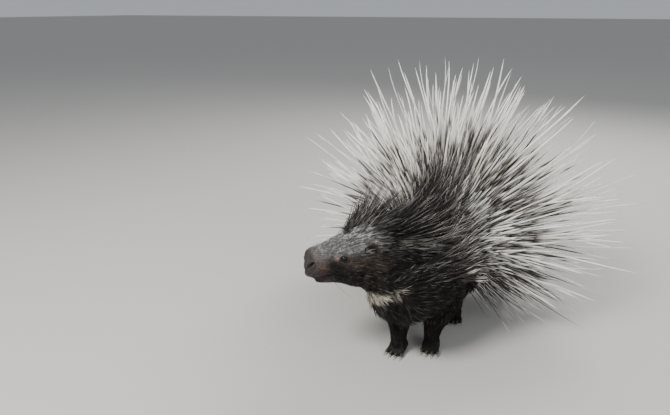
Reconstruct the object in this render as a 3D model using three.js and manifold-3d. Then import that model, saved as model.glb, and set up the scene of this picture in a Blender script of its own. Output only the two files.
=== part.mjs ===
// A Malayan porcupine, life size, standing with its feet gathered, its quills raised in a fan
// and its head turned to its own right.
// Millimetres, +Z up. The body faces -Y, its left side is +X, and its soles lie on the floor.
import * as THREE from "three";
import { mergeVertices } from "three/addons/utils/BufferGeometryUtils.js";
import Module from "manifold-3d";

const wasm = await Module();
wasm.setup();

// Gaps between neighbouring nodes, and how far a spine stays from another node's spines
const JOINT_GAP = 0.3;
const SPINE_GAP = 0.6;
const UP = new THREE.Vector3(0, 0, 1);
const REAR = new THREE.Vector3(0, 1, 0);
const degrees = THREE.MathUtils.degToRad;
const mix = THREE.MathUtils.lerp;

// Rows of a body part: centre x, y, z, half width, height above and depth below the centre.
// Rows run from front to rear, or from top to bottom on a leg.
const TORSO_ROWS = [
  [-42, -90, 149, 14, 14, 14],
  [-39, -74, 151, 51, 48, 49],
  [-22, -32, 161, 78, 68, 72],
  [-3, 30, 175, 86, 83, 83],
  [0, 90, 184, 92, 97, 90],
  [0, 150, 190, 99, 102, 95],
  [0, 205, 190, 101, 100, 94],
  [0, 255, 186, 94, 91, 86],
  [0, 295, 180, 79, 74, 72],
  [0, 322, 174, 56, 50, 52],
  [0, 338, 170, 20, 18, 20],
];
const NECK_ROWS = [
  [-106, -62, 225, 46, 51, 66],
  [-84, -45, 225, 54, 58, 87],
  [-60, -26, 220, 62, 62, 95],
  [-36, -4, 212, 68, 67, 92],
  [-14, 28, 204, 72, 72, 82],
  [0, 72, 196, 68, 74, 78],
];
const TAIL_ROWS = [
  [0, 312, 176, 24, 24, 24],
  [0, 338, 168, 22, 21, 21],
  [0, 362, 158, 19, 18, 18],
  [0, 384, 148, 14, 13, 13],
  [0, 400, 142, 5, 5, 5],
];

// The head is drawn in its own frame: nose tip at the origin, facing -Y, +X to its left.
const NOSE_TIP = new THREE.Vector3(-190, -128, 212);
const HEAD_TURN = degrees(-50);
const HEAD_DIP = degrees(12);
const SKULL_ROWS = [
  [0, 0, 0, 9, 14, 10],
  [0, 3, -1, 19, 25, 19],
  [0, 10, -1, 26, 34, 25],
  [0, 25, 0, 31, 38, 29],
  [0, 45, 1, 34, 37.5, 31],
  [0, 65, 2, 40, 39, 38],
  [0, 85, 2, 46, 41.5, 46],
  [0, 105, 2, 51, 46.5, 52],
  [0, 125, 2, 53, 52, 54],
  [0, 145, 2, 52, 55, 54],
  [0, 162, 2, 44, 50, 46],
];
const JAW_ROWS = [
  [0, 12, -27, 10, 6, 7],
  [0, 17, -28, 16, 9, 11],
  [0, 32, -27, 22, 12, 17],
  [0, 55, -24, 28, 14, 29],
  [0, 85, -22, 37, 18, 49],
  [0, 112, -20, 40, 20, 60],
];
const HEAD_CUT = 138;
const EYE_PLACE = [37.6, 71, 13.5];
const EYE_RADIUS = 5.6;
const LID_RADIUS = 7.6;
const LID_THICKNESS = 2.3;
const EAR_BASE = [50, 122, 14];
const EAR_SIZE = [6.5, 15, 21];
const MOUTH_LINE = [
  [30, 56, -15],
  [27, 40, -20],
  [24.5, 26, -23],
  [17, 14, -24],
  [0, 8.5, -24],
];
const NOSTRIL = { place: [11, 3.5, -4], size: [2.6, 7, 5.5], turn: -35 };

// Feet: where the middle of each sole stands, the way the toes point, and the paw's length
const FOREPAW = { left: [31, 17], right: [-31, -19], length: 56, width: 20, toes: 4 };
const HINDPAW = { left: [41, 168], right: [-45, 176], length: 84, width: 22, toes: 5 };
const ANKLE_HEIGHT = 27;
const TOE_OUT = { fore: 6, hind: 14 };

// Quills: the stretch of the body that carries them, how they are spaced, and their sizes
const QUILL_START = 128;
const QUILL_SPACING = { along: 17, around: 22.5 };
const QUILL_RADIUS = 2.6;
const QUILL_SINK = 9;
const QUILL_LOWEST = degrees(-42);
const LEAN_BY_Y = [[120, -6], [165, 3], [215, 15], [262, 34], [300, 54], [326, 72], [345, 82]];
const LENGTH_BY_Y = [[120, 110], [146, 215], [180, 300], [255, 326], [296, 255], [338, 175]];

// Bristle locks: the raised crest of the nape, neck and back, and the flat ones of chest and legs
const LOCK = { width: 15, thick: 3, sink: 7, bend: 0.3 };
const CREST_SPACING = { along: 23, around: 28 };
const CREST_BY_Y = [[-78, 28], [-60, 44], [-45, 66], [-20, 98], [30, 136], [80, 152], [120, 150], [150, 138]];
const CREST_RISE = { side: 22, top: 61 };
const CHEST_SPACING = { along: 29, around: 34 };
const CHEST_LENGTH = 46;
const LEG_SPACING = { along: 28, around: 33 };
const LEG_LENGTH = 36;
const FLAT_RISE = 17;

// Rattle quills of the tail
const RATTLE = { count: 16, length: 52, radius: 2.9 };

// Colours of the plain solids
const COAT = new THREE.MeshStandardMaterial({ color: 0x2b2320, roughness: 0.85, metalness: 0 });
const FACE = new THREE.MeshStandardMaterial({ color: 0x3a302b, roughness: 0.8, metalness: 0 });
const QUILL = new THREE.MeshStandardMaterial({ color: 0xd8d2c4, roughness: 0.45, metalness: 0 });
const PAW = new THREE.MeshStandardMaterial({ color: 0x1c1715, roughness: 0.75, metalness: 0 });
const EYE = new THREE.MeshStandardMaterial({ color: 0x0a0807, roughness: 0.08, metalness: 0 });

function seededRandom(seed) {
  let state = seed;
  return () => {
    state = (state * 1664525 + 1013904223) % 4294967296;
    return state / 4294967296;
  };
}
const random = seededRandom(20251);
const jitter = (size) => (random() * 2 - 1) * size;

// Straight-line reading of a table of [place, value] pairs
function read(table, place) {
  const next = table.findIndex(([at]) => at > place);
  if (next === 0) return table[0][1];
  if (next < 0) return table[table.length - 1][1];
  const [[a, low], [b, high]] = [table[next - 1], table[next]];
  return mix(low, high, (place - a) / (b - a));
}

// A closed solid from rings of points; a ring of one point is a tip
function solidFromRings(rings) {
  const points = rings.flat();
  const faces = [];
  let start = 0;
  rings.slice(1).forEach((ring, k) => {
    const before = rings[k].length;
    const next = start + before;
    const n = Math.max(before, ring.length);
    for (let i = 0; i < n; i++) {
      const j = (i + 1) % n;
      if (before > 1) faces.push(start + i, start + j, next + (ring.length > 1 ? i : 0));
      if (ring.length > 1) faces.push(start + (before > 1 ? j : 0), next + j, next + i);
    }
    start = next;
  });
  const cap = (first, n, flip) => {
    for (let i = 1; i < n - 1; i++) {
      faces.push(first, first + (flip ? i + 1 : i), first + (flip ? i : i + 1));
    }
  };
  cap(0, rings[0].length, true);
  cap(start, rings[rings.length - 1].length, false);
  const geometry = new THREE.BufferGeometry().setFromPoints(points).setIndex(faces);
  return solidFromGeometry(geometry);
}

function solidFromGeometry(geometry, matrix = new THREE.Matrix4()) {
  const bare = new THREE.BufferGeometry();
  bare.setAttribute("position", geometry.getAttribute("position").clone());
  bare.setIndex(geometry.index);
  bare.applyMatrix4(matrix);
  const merged = mergeVertices(bare, 1e-4);
  const triVerts = new Uint32Array(merged.index.array);
  const vertProperties = new Float32Array(merged.attributes.position.array);
  const made = new wasm.Manifold(new wasm.Mesh({ numProp: 3, vertProperties, triVerts }));
  if (made.volume() > 0) return made;
  for (let i = 0; i < triVerts.length; i += 3) {
    [triVerts[i + 1], triVerts[i + 2]] = [triVerts[i + 2], triVerts[i + 1]];
  }
  return new wasm.Manifold(new wasm.Mesh({ numProp: 3, vertProperties, triVerts }));
}

// A rounded body part along a smooth path, with its own width, height and depth at each place
class Loft {
  constructor(rows, reference = UP, matrix = new THREE.Matrix4()) {
    const curve = (pick) => new THREE.CatmullRomCurve3(rows.map(pick), false, "catmullrom");
    this.path = curve(([x, y, z]) => new THREE.Vector3(x, y, z));
    this.girth = curve(([, , , width, up, down]) => new THREE.Vector3(width, up, down));
    this.reference = reference;
    this.matrix = matrix;
  }

  point(t, angle, grow = 0) {
    const along = this.path.getTangent(t);
    const side = along.clone().cross(this.reference).normalize();
    const up = side.clone().cross(along);
    const girth = this.girth.getPoint(t);
    const [across, rise] = [Math.cos(angle), Math.sin(angle)];
    return this.path
      .getPoint(t)
      .addScaledVector(side, across * (girth.x + grow))
      .addScaledVector(up, rise * ((rise > 0 ? girth.y : girth.z) + grow))
      .applyMatrix4(this.matrix);
  }

  // The outward direction of the surface
  normal(t, angle) {
    const step = 0.004;
    const [low, high] = [Math.max(t - step, 0), Math.min(t + step, 1)];
    const along = this.point(high, angle).sub(this.point(low, angle));
    const around = this.point(t, angle + step).sub(this.point(t, angle - step));
    return along.cross(around).normalize();
  }

  solid(steps, sides, grow = 0) {
    const rings = [];
    for (let k = 0; k <= steps; k++) {
      const ring = [];
      for (let i = 0; i < sides; i++) {
        ring.push(this.point(k / steps, (2 * Math.PI * (i + 0.5)) / sides, grow));
      }
      rings.push(ring);
    }
    return solidFromRings(rings);
  }
}

const join = (solids) => solids.reduce((all, next) => all.add(next));

// After a join or a cut only the largest closed surface is kept
function largest(solid) {
  return solid.decompose().reduce((best, next) => (next.volume() > best.volume() ? next : best));
}

function ellipsoid([x, y, z], [a, b, c], matrix, turn = new THREE.Matrix4(), detail = 10) {
  const round = new THREE.SphereGeometry(1, detail, Math.round(detail * 0.7));
  const place = new THREE.Matrix4().makeTranslation(x, y, z);
  const size = new THREE.Matrix4().makeScale(a, b, c);
  return solidFromGeometry(round, matrix.clone().multiply(place).multiply(turn).multiply(size));
}

// Torso, cut across into forebody, midbody and rump
const torso = new Loft(TORSO_ROWS);
const torsoSolid = torso.solid(18, 18);
const torsoGrown = torso.solid(18, 18, JOINT_GAP);
const TORSO_CUTS = [112, 214];
const behind = (solid, y) => solid.trimByPlane([0, 1, 0], y + JOINT_GAP / 2);
const ahead = (solid, y) => solid.trimByPlane([0, -1, 0], -y + JOINT_GAP / 2);

// Head frame
const headMatrix = new THREE.Matrix4()
  .makeTranslation(NOSE_TIP.x, NOSE_TIP.y, NOSE_TIP.z)
  .multiply(new THREE.Matrix4().makeRotationZ(HEAD_TURN))
  .multiply(new THREE.Matrix4().makeRotationX(HEAD_DIP));
const headBack = new THREE.Vector3(0, 1, 0).transformDirection(headMatrix);
const headCutAt = new THREE.Vector3(0, HEAD_CUT, 0).applyMatrix4(headMatrix).dot(headBack);
const mirrored = ([x, y, z], side) => [x * side, y, z];

const skull = new Loft(SKULL_ROWS, UP, headMatrix);
const jaw = new Loft(JAW_ROWS, UP, headMatrix);
const neck = new Loft(NECK_ROWS);
const neckGrown = neck.solid(8, 16, JOINT_GAP);

function lidRing(side) {
  const ring = new THREE.TorusGeometry(LID_RADIUS, LID_THICKNESS, 5, 12);
  const [x, y, z] = mirrored(EYE_PLACE, side);
  const place = new THREE.Matrix4().makeTranslation(x + side * 1.2, y - 0.5, z);
  const turn = new THREE.Matrix4().makeRotationY(degrees(90));
  const slant = new THREE.Matrix4().makeRotationZ(degrees(-side * 16));
  const squash = new THREE.Matrix4().makeScale(1, 1.12, 0.82);
  return solidFromGeometry(
    ring,
    headMatrix.clone().multiply(place).multiply(slant).multiply(squash).multiply(turn),
  );
}

function mouthGroove() {
  const left = MOUTH_LINE.map(([x, y, z]) => [x + 0.5, y - 0.5, z]);
  const right = left.slice(0, -1).reverse().map(([x, y, z]) => [-x, y, z]);
  const rows = [...left, ...right].map(([x, y, z]) => [x, y, z, 1.3, 1.3, 1.3]);
  return new Loft(rows, UP, headMatrix).solid(12, 4);
}

function lips() {
  const ridge = (lift, size) => {
    const left = MOUTH_LINE.map(([x, y, z]) => [x * 0.94, y + 0.8, z + lift, size, size, size]);
    const right = left.slice(0, -1).reverse().map(([x, y, z, ...r]) => [-x, y, z, ...r]);
    return new Loft([...left, ...right], UP, headMatrix).solid(10, 4);
  };
  return [ridge(3, 3), ridge(-3, 2.8)];
}

function makeEar(side) {
  const tilt = new THREE.Matrix4()
    .makeRotationZ(degrees(-side * 22))
    .multiply(new THREE.Matrix4().makeRotationX(degrees(-24)))
    .multiply(new THREE.Matrix4().makeRotationY(degrees(side * 16)));
  const [x, y, z] = mirrored(EAR_BASE, side);
  const lifted = [x + side * 4, y, z + EAR_SIZE[2] * 0.35];
  const shell = ellipsoid(lifted, EAR_SIZE, headMatrix, tilt, 10);
  const cup = ellipsoid(
    [lifted[0] + side * 5.2, lifted[1] - 4.5, lifted[2] + 1.5],
    EAR_SIZE.map((size) => size * 0.8),
    headMatrix,
    tilt,
    8,
  );
  return shell.subtract(cup);
}

function makeHead() {
  const eyes = [1, -1].map((side) =>
    ellipsoid(mirrored(EYE_PLACE, side), Array(3).fill(EYE_RADIUS), headMatrix),
  );
  const sockets = [1, -1].map((side) =>
    ellipsoid(mirrored(EYE_PLACE, side), Array(3).fill(EYE_RADIUS + JOINT_GAP), headMatrix),
  );
  const nostrils = [1, -1].map((side) =>
    ellipsoid(
      mirrored(NOSTRIL.place, side),
      NOSTRIL.size,
      headMatrix,
      new THREE.Matrix4()
        .makeRotationZ(degrees(side * 20))
        .multiply(new THREE.Matrix4().makeRotationX(degrees(NOSTRIL.turn))),
      8,
    ),
  );
  const face = join([skull.solid(16, 18), jaw.solid(6, 10), lidRing(1), lidRing(-1), ...lips()]);
  const nape = skull.solid(16, 18).add(neck.solid(8, 16));
  const headPart = face.trimByPlane(headBack.clone().negate().toArray(), JOINT_GAP / 2 - headCutAt);
  const neckPart = nape.trimByPlane(headBack.toArray(), headCutAt + JOINT_GAP / 2);
  const head = [...sockets, ...nostrils, mouthGroove()].reduce(
    (solid, tool) => solid.subtract(tool),
    headPart,
  );
  const earGrown = skull.solid(16, 18, JOINT_GAP);
  const ears = [1, -1].map((side) =>
    largest(makeEar(side).subtract(earGrown).subtract(neckGrown)),
  );
  return {
    head: largest(head.subtract(torsoGrown)),
    neck: largest(neckPart.subtract(torsoGrown)),
    ears,
    eyes: eyes.map(largest),
  };
}

// Legs: each leg is one form down to the ankle cut, and the paw below it carries toes and claws
function foreLeg(side, [px, py]) {
  return new Loft(
    [
      [side * 44, 30 + py * 0.3, 172, 32, 36, 36],
      [side * 48, 26 + py * 0.4, 138, 36, 39, 37],
      [mix(side * 46, px, 0.3), 20 + py * 0.6, 100, 31, 33, 32],
      [mix(side * 41, px, 0.7), 8 + py * 0.9, 66, 23, 25, 24],
      [px, py + 2, 38, 18, 20, 19],
      [px, py + 1, 16, 17, 19, 18],
    ],
    REAR,
  );
}

function hindLeg(side, [px, py]) {
  return new Loft(
    [
      [side * 52, py + 46, 190, 34, 44, 46],
      [side * 58, py + 26, 150, 38, 52, 46],
      [side * 57, py + 8, 110, 32, 44, 38],
      [mix(side * 55, px, 0.5), py + 12, 74, 24, 28, 28],
      [px, py + 22, 44, 19, 20, 22],
      [px, py + 22, 18, 18, 18, 20],
    ],
    REAR,
  );
}

function makePaw([px, py], { length, width, toes }, out, side) {
  const turn = new THREE.Matrix4()
    .makeTranslation(px, py, 0)
    .multiply(new THREE.Matrix4().makeRotationZ(degrees(side * out)));
  const heel = length * 0.45;
  const knuckle = -length * 0.2;
  const pad = new Loft(
    [
      [0, heel, 8, 8, 8, 8],
      [0, heel - 5, 11, width * 0.74, 12, 15],
      [0, heel * 0.4, 13, width * 0.9, 14, 17],
      [0, knuckle * 0.3, 12, width * 0.96, 12, 16],
      [0, knuckle, 8, width * 0.86, 8, 11],
    ],
    UP,
    turn,
  );
  const parts = [pad.solid(5, 8)];
  for (let i = 0; i < toes; i++) {
    const spread = (i / (toes - 1)) * 2 - 1;
    const reach = knuckle - length * (0.27 - 0.08 * spread * spread);
    const x = spread * (width - 4.5);
    const toe = new Loft(
      [
        [x * 0.8, knuckle + 9, 8, 4, 4.5, 7],
        [x, knuckle - 4, 7.5, 4.2, 5.2, 9],
        [x * 1.06, reach + 3, 6.5, 4, 4.2, 7.6],
        [x * 1.08, reach - 1, 6.2, 2.2, 2.1, 2.4],
        [x * 1.11, reach - 8, 4.8, 1.5, 1.5, 1.6],
        [x * 1.13, reach - 13, 2.2, 0.5, 0.5, 0.5],
      ],
      UP,
      turn,
    );
    parts.push(toe.solid(5, 5));
  }
  return join(parts).trimByPlane([0, 0, 1], 0);
}

function makeLeg(leg, paw) {
  const whole = leg.solid(8, 12).subtract(torsoGrown).subtract(neckGrown).add(paw);
  return {
    leg: largest(whole.trimByPlane([0, 0, 1], ANKLE_HEIGHT + JOINT_GAP / 2)),
    paw: largest(whole.trimByPlane([0, 0, -1], -ANKLE_HEIGHT + JOINT_GAP / 2)),
  };
}

// A spine or lock: points from root to tip, with its half width and half thickness at each
function spineSolid({ points, widths, thicks, across, sides }, extra = 0) {
  const rings = points.map((point, k) => {
    if (k === points.length - 1) return [point];
    const along = points[k + 1].clone().sub(points[Math.max(k - 1, 0)]).normalize();
    const side = across.clone().addScaledVector(along, -across.dot(along)).normalize();
    const face = along.clone().cross(side);
    return Array.from({ length: sides }, (_, i) => {
      const angle = (2 * Math.PI * i) / sides;
      return point
        .clone()
        .addScaledVector(side, Math.cos(angle) * (widths[k] + extra))
        .addScaledVector(face, Math.sin(angle) * (thicks[k] + extra));
    });
  });
  return solidFromRings(rings);
}

function gapBetween(a, b) {
  let least = Infinity;
  for (let i = 1; i < a.points.length; i++) {
    for (let j = 1; j < b.points.length; j++) {
      const distance = segmentDistance(a.points[i - 1], a.points[i], b.points[j - 1], b.points[j]);
      const reach = Math.max(a.widths[i - 1], a.widths[i]) + Math.max(b.widths[j - 1], b.widths[j]);
      least = Math.min(least, distance - reach);
    }
  }
  return least;
}

function segmentDistance(p, q, r, s) {
  const [d1, d2, w] = [q.clone().sub(p), s.clone().sub(r), p.clone().sub(r)];
  const [a, b, c, d, e] = [d1.dot(d1), d1.dot(d2), d2.dot(d2), d1.dot(w), d2.dot(w)];
  const wide = a * c - b * b;
  const clamp = THREE.MathUtils.clamp;
  let first = wide > 1e-9 ? clamp((b * e - c * d) / wide, 0, 1) : 0;
  const second = clamp((b * first + e) / c, 0, 1);
  first = clamp((b * second - d) / a, 0, 1);
  return w.addScaledVector(d1, first).addScaledVector(d2, -second).length();
}

const { head, neck: neckSolid, ears, eyes } = makeHead();
const flesh = { head, neck: neckSolid };
flesh.forebody = largest(ahead(torsoSolid, TORSO_CUTS[0]));
flesh.midbody = largest(ahead(behind(torsoSolid, TORSO_CUTS[0]), TORSO_CUTS[1]));
flesh.rump = largest(behind(torsoSolid, TORSO_CUTS[1]));
const tail = new Loft(TAIL_ROWS);
flesh.tail = largest(tail.solid(8, 12).subtract(torsoGrown));
flesh.ear_left = ears[0];
flesh.ear_right = ears[1];
const legLofts = {};
for (const [name, side] of [["left", 1], ["right", -1]]) {
  const forePaw = makePaw(FOREPAW[name], FOREPAW, TOE_OUT.fore, side);
  const hindPaw = makePaw(HINDPAW[name], HINDPAW, TOE_OUT.hind, side);
  const foreLoft = foreLeg(side, FOREPAW[name]);
  const hindLoft = hindLeg(side, HINDPAW[name]);
  legLofts[`fore_${name}`] = { loft: foreLoft, node: `foreleg_${name}` };
  legLofts[`hind_${name}`] = { loft: hindLoft, node: `hindleg_${name}` };
  const fore = makeLeg(foreLoft, forePaw);
  const hind = makeLeg(hindLoft, hindPaw);
  flesh[`foreleg_${name}`] = fore.leg;
  flesh[`forepaw_${name}`] = fore.paw;
  flesh[`hindleg_${name}`] = hind.leg;
  flesh[`hindpaw_${name}`] = hind.paw;
}

// Spines are kept only where they clear every other node and each other
const spines = [];
const strangers = {};
function othersOf(node) {
  strangers[node] ??= join(Object.keys(flesh).filter((n) => n !== node).map((n) => flesh[n]));
  return strangers[node];
}

function isClear(spine) {
  const near = spines.some((other) => {
    const reach = spine.length + other.length;
    if (spine.points[0].distanceTo(other.points[0]) > reach) return false;
    return gapBetween(spine, other) < (other.node === spine.node ? 0 : SPINE_GAP);
  });
  return !near && spineSolid(spine, SPINE_GAP).intersect(othersOf(spine.node)).isEmpty();
}

function plant(makeSpine, tries = 5) {
  for (let i = 0; i < tries; i++) {
    const spine = makeSpine();
    if (isClear(spine)) {
      spines.push(spine);
      return;
    }
  }
}

function torsoNode(y) {
  if (y < TORSO_CUTS[0]) return "forebody";
  return y < TORSO_CUTS[1] ? "midbody" : "rump";
}

// Rows of roots round a loft, evenly spaced, each row set off from the last
function rootsOn(loft, from, to, spacing, lowest, visit) {
  const length = loft.point(from, Math.PI / 2).distanceTo(loft.point(to, Math.PI / 2));
  const rows = Math.round(length / spacing.along);
  for (let k = 0; k <= rows; k++) {
    const t = mix(from, to, k / rows);
    const width = loft.point(t, 0).distanceTo(loft.point(t, Math.PI)) / 2;
    const sweep = Math.PI - 2 * lowest;
    const count = Math.max(Math.round((sweep * width) / spacing.around), 3);
    for (let i = 0; i < count; i++) {
      visit(t, lowest + (sweep * (i + 0.25 + 0.5 * (k % 2))) / count);
    }
  }
}

// A quill: stoutest half way up, drawn out to a point
function makeQuill(node, root, direction, length, radius, bend) {
  const points = [-QUILL_SINK, length * 0.6, length].map((at) => {
    const share = Math.max(at, 0) / length;
    return root
      .clone()
      .addScaledVector(direction, at)
      .addScaledVector(bend, share * share * length);
  });
  const widths = [radius * 0.8, radius, 0];
  const across = new THREE.Vector3(1, 0.3, 0.2).cross(direction).normalize();
  return { node, points, widths, thicks: widths, across, sides: 3, length };
}

function plantQuills() {
  const from = 0.43;
  const to = 0.985;
  rootsOn(torso, from, to, QUILL_SPACING, QUILL_LOWEST, (t, angle) => {
    const atRoot = torso.point(t, angle + jitter(0.03));
    if (atRoot.y < QUILL_START) return;
    plant(() => {
      const root = atRoot.clone();
      const normal = torso.normal(t, angle);
      const radial = normal.clone().setY(0).normalize();
      const lean = degrees(read(LEAN_BY_Y, root.y) + jitter(7));
      const low = THREE.MathUtils.clamp(-radial.z, 0, 1);
      const direction = radial
        .multiplyScalar(Math.cos(lean))
        .addScaledVector(REAR, Math.sin(lean))
        .add(new THREE.Vector3(jitter(0.07), 0, jitter(0.07) + low * 0.12))
        .normalize();
      const length = read(LENGTH_BY_Y, root.y) * (1 - 0.42 * low) * mix(0.78, 1.04, random());
      const bend = new THREE.Vector3(0, 0.05 + jitter(0.04), -0.02 + jitter(0.03));
      const radius = QUILL_RADIUS * mix(0.85, 1.1, random());
      return makeQuill(torsoNode(root.y), root, direction, length, radius, bend);
    });
  });
}

// A bristle lock: flat, tapered, raised from the skin and bending back along its lie
function makeLock(node, root, normal, lie, length, rise) {
  const lift = normal.clone().multiplyScalar(Math.sin(rise));
  const direction = lift.addScaledVector(lie, Math.cos(rise)).normalize();
  const across = normal.clone().cross(lie).normalize();
  const points = [-LOCK.sink, length * 0.4, length * 0.76, length].map((at) => {
    const share = Math.max(at, 0) / length;
    return root
      .clone()
      .addScaledVector(direction, at)
      .addScaledVector(lie, share * share * length * LOCK.bend);
  });
  const widths = [0.42, 0.5, 0.3, 0].map((share) => share * LOCK.width);
  const thicks = [0.5, 0.5, 0.35, 0].map((share) => share * LOCK.thick);
  return { node, points, widths, thicks, across, sides: 4, length };
}

// Locks on one stretch of a loft. Each style gives a root's node, lie, length and rise.
function plantLocks(loft, [from, to], spacing, lowest, style) {
  rootsOn(loft, from, to, spacing, lowest, (t, angle) => {
    const turned = angle + jitter(0.06);
    const root = loft.point(t, turned);
    const normal = loft.normal(t, turned);
    const { node, lie, length, rise } = style(root, normal, t);
    if (length === 0) return;
    plant(() => {
      lie.addScaledVector(normal, -lie.dot(normal)).normalize();
      const size = length * mix(0.85, 1.1, random());
      return makeLock(node, root, normal, lie, size, degrees(rise + jitter(5)));
    });
  });
}

function crestStyle(node, lie, root, normal) {
  const high = THREE.MathUtils.clamp(normal.z, 0, 1);
  const length = read(CREST_BY_Y, root.y) * mix(0.62, 1, high);
  return { node, lie, length, rise: mix(CREST_RISE.side, CREST_RISE.top, high) };
}

function plantCrest() {
  plantLocks(torso, [0.16, 0.5], CREST_SPACING, degrees(-4), (root, normal) =>
    crestStyle(torsoNode(root.y), REAR.clone(), root, normal),
  );
  plantLocks(neck, [0.24, 0.8], CREST_SPACING, degrees(-8), (root, normal, t) =>
    crestStyle("neck", neck.path.getTangent(t), root, normal),
  );
}

function plantFlatLocks() {
  plantLocks(torso, [0.07, 0.4], CHEST_SPACING, degrees(-84), (root, normal) => ({
    node: torsoNode(root.y),
    lie: new THREE.Vector3(0, 1, -0.45),
    length: normal.z > 0.1 ? 0 : CHEST_LENGTH,
    rise: FLAT_RISE,
  }));
  plantLocks(neck, [0.3, 0.62], CHEST_SPACING, degrees(-80), (root, normal, t) => ({
    node: "neck",
    lie: neck.path.getTangent(t).setZ(-0.5),
    length: normal.z > 0.1 ? 0 : CHEST_LENGTH * 0.9,
    rise: FLAT_RISE,
  }));
  for (const [name, { loft, node }] of Object.entries(legLofts)) {
    const [from, to] = name.startsWith("fore") ? [0.22, 0.62] : [0.3, 0.6];
    plantLocks(loft, [from, to], LEG_SPACING, degrees(-90), (root, normal, t) => ({
      node,
      lie: loft.path.getTangent(t),
      length: LEG_LENGTH,
      rise: FLAT_RISE,
    }));
  }
}

function plantRattles() {
  for (let i = 0; i < RATTLE.count; i++) {
    plant(() => {
      const t = mix(0.55, 0.9, random());
      const angle = (i / RATTLE.count) * 2 * Math.PI;
      const direction = tail.normal(t, angle).multiplyScalar(0.5).add(REAR);
      direction.normalize();
      const length = RATTLE.length * mix(0.8, 1.1, random());
      const bend = new THREE.Vector3();
      return makeQuill("tail", tail.point(t, angle), direction, length, RATTLE.radius, bend);
    });
  }
}

plantRattles();
plantQuills();
plantCrest();
plantFlatLocks();

// The model
const porcupine = new THREE.Group();
porcupine.name = "porcupine";

function addNode(name, solid, material) {
  const mesh = solid.getMesh();
  const geometry = new THREE.BufferGeometry();
  geometry.setAttribute("position", new THREE.BufferAttribute(mesh.vertProperties, 3));
  geometry.setIndex(new THREE.BufferAttribute(mesh.triVerts, 1));
  const node = new THREE.Mesh(geometry, material);
  node.name = name;
  porcupine.add(node);
}

const MATERIAL_OF = { head: FACE, midbody: QUILL, rump: QUILL, tail: QUILL };
for (const [name, solid] of Object.entries(flesh)) {
  const grown = spines.filter(({ node }) => node === name).map((spine) => spineSolid(spine));
  const joined = grown.length ? largest(solid.add(join(grown))) : solid;
  const material = MATERIAL_OF[name] ?? (name.includes("paw") ? PAW : COAT);
  addNode(name, joined, material);
}
addNode("eye_left", eyes[0], EYE);
addNode("eye_right", eyes[1], EYE);

// The origin is the middle of the model's footprint, on the floor
const bounds = new THREE.Box3().setFromObject(porcupine);
const middle = bounds.getCenter(new THREE.Vector3());
porcupine.position.set(-middle.x, -middle.y, 0);

export default porcupine;
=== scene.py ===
"""A Malayan porcupine, life size, standing with its quills raised and its head turned to its right.

Lengths in the tables are millimetres in the design frame: the body faces -Y, its left is +X, and the
origin is on the floor between the forepaws. The finished meshes are in metres in the row frame.
"""
import math

import bmesh
import bpy
import numpy as np
from mathutils import Matrix, Vector
from mathutils.bvhtree import BVHTree


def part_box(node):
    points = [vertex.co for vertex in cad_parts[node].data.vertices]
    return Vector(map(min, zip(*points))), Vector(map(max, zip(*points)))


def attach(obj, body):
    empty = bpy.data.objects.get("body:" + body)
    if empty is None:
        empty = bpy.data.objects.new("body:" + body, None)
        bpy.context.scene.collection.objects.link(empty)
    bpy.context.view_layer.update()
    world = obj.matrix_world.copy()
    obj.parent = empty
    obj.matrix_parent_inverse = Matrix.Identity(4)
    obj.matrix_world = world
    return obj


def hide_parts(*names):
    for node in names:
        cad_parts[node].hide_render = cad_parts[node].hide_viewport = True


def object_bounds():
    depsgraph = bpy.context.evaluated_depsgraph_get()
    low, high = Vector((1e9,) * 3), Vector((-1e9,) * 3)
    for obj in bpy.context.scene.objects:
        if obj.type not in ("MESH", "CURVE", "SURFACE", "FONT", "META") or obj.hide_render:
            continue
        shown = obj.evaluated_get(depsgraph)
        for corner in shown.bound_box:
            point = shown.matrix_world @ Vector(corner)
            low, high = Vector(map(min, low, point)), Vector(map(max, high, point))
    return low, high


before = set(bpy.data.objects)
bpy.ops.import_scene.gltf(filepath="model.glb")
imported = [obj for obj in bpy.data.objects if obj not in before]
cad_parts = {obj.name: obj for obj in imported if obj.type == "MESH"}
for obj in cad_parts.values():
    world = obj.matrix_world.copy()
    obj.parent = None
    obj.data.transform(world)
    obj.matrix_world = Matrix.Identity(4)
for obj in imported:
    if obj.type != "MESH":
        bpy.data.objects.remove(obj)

cad_box = [[float(v) for v in corner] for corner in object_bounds()]
rng = np.random.default_rng(20251)

# Body parts as rows: centre x, y, z, half width, height above and depth below the centre
TORSO_ROWS = [
    [-42, -90, 149, 14, 14, 14],
    [-39, -74, 151, 51, 48, 49],
    [-22, -32, 161, 78, 68, 72],
    [-3, 30, 175, 86, 83, 83],
    [0, 90, 184, 92, 97, 90],
    [0, 150, 190, 99, 102, 95],
    [0, 205, 190, 101, 100, 94],
    [0, 255, 186, 94, 91, 86],
    [0, 295, 180, 79, 74, 72],
    [0, 322, 174, 56, 50, 52],
    [0, 338, 170, 20, 18, 20],
]
NECK_ROWS = [
    [-106, -62, 225, 46, 51, 66],
    [-84, -45, 225, 54, 58, 87],
    [-60, -26, 220, 62, 62, 95],
    [-36, -4, 212, 68, 67, 92],
    [-14, 28, 204, 72, 72, 82],
    [0, 72, 196, 68, 74, 78],
]
TAIL_ROWS = [
    [0, 312, 176, 24, 24, 24],
    [0, 338, 168, 22, 21, 21],
    [0, 362, 158, 19, 18, 18],
    [0, 384, 148, 14, 13, 13],
    [0, 400, 142, 5, 5, 5],
]

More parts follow.
